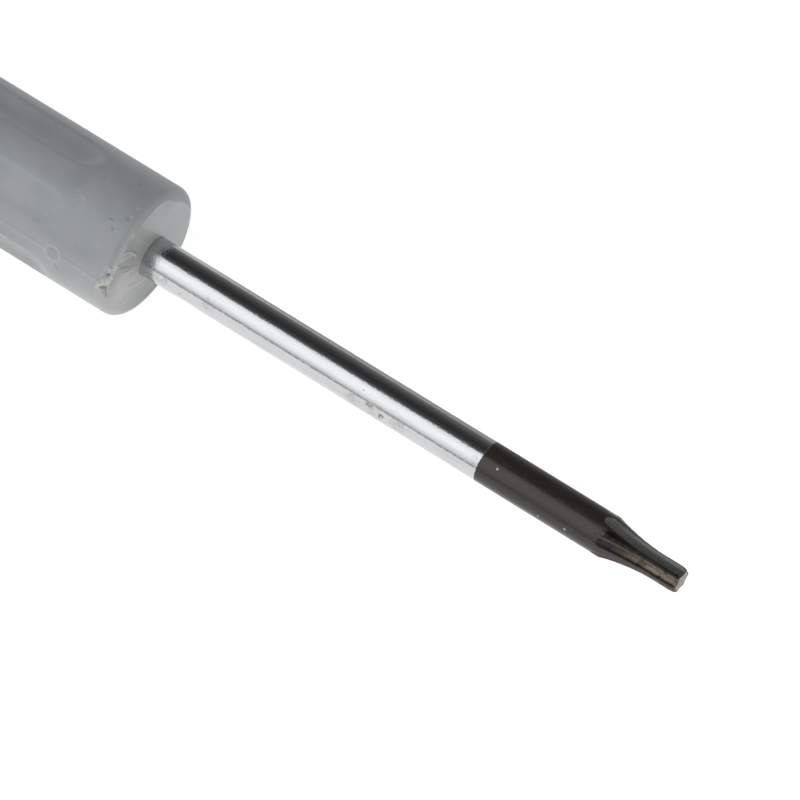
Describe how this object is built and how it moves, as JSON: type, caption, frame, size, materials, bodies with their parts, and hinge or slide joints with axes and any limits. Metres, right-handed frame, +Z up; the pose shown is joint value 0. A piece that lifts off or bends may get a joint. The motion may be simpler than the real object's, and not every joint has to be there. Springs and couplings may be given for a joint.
{
  "type": "precision screwdriver",
  "caption": "Slim hand screwdriver with a six-lobe tip on a round plated blade, a fluted soft grip, an anti-roll hexagon and a free-turning end cap on a ball bearing.",
  "frame": {"origin": "on the surface that the tool lies on, under the middle of its length", "axes": "+X along the blade towards the tip, +Z up"},
  "size_m": [0.164, 0.017, 0.015],
  "materials": {
    "blade_plating": "bright plated shank, blackened towards the tip",
    "soft_grip": "satin grey moulded elastomer",
    "hard_core": "fine moulded grain",
    "cap_plastic": "fine moulded grain",
    "disc_plastic": "satin moulded",
    "zinc_steel": "zinc plated",
    "bearing_steel": "ground",
    "cage_brass": "stamped"
  },
  "bodies": {
    "handle": {"blade": "blade_plating", "grip_sleeve": "soft_grip", "handle_core": "hard_core", "cap_screw": "zinc_steel", "head_washer": "zinc_steel", "lower_race": "bearing_steel"},
    "cap": {"swivel_cap": "cap_plastic", "cap_disc": "disc_plastic", "upper_race": "bearing_steel"},
    "ball_set": {"ball_cage": "cage_brass", "ball_1": "bearing_steel", "ball_2": "bearing_steel", "ball_3": "bearing_steel", "ball_4": "bearing_steel", "ball_5": "bearing_steel", "ball_6": "bearing_steel"}
  },
  "joints": [
    {"name": "cap_spin", "type": "hinge", "parent": "handle", "child": "cap", "pos_m": [-0.0758, 0, 0.0075], "axis": [1, 0, 0], "continuous": true},
    {"name": "cage_spin", "type": "hinge", "parent": "handle", "child": "ball_set", "pos_m": [-0.0718, 0, 0.0075], "axis": [1, 0, 0], "continuous": true}
  ],
  "couplings": [
    {"joint": "cage_spin", "follows": "cap_spin", "ratio": 0.5}
  ]
}
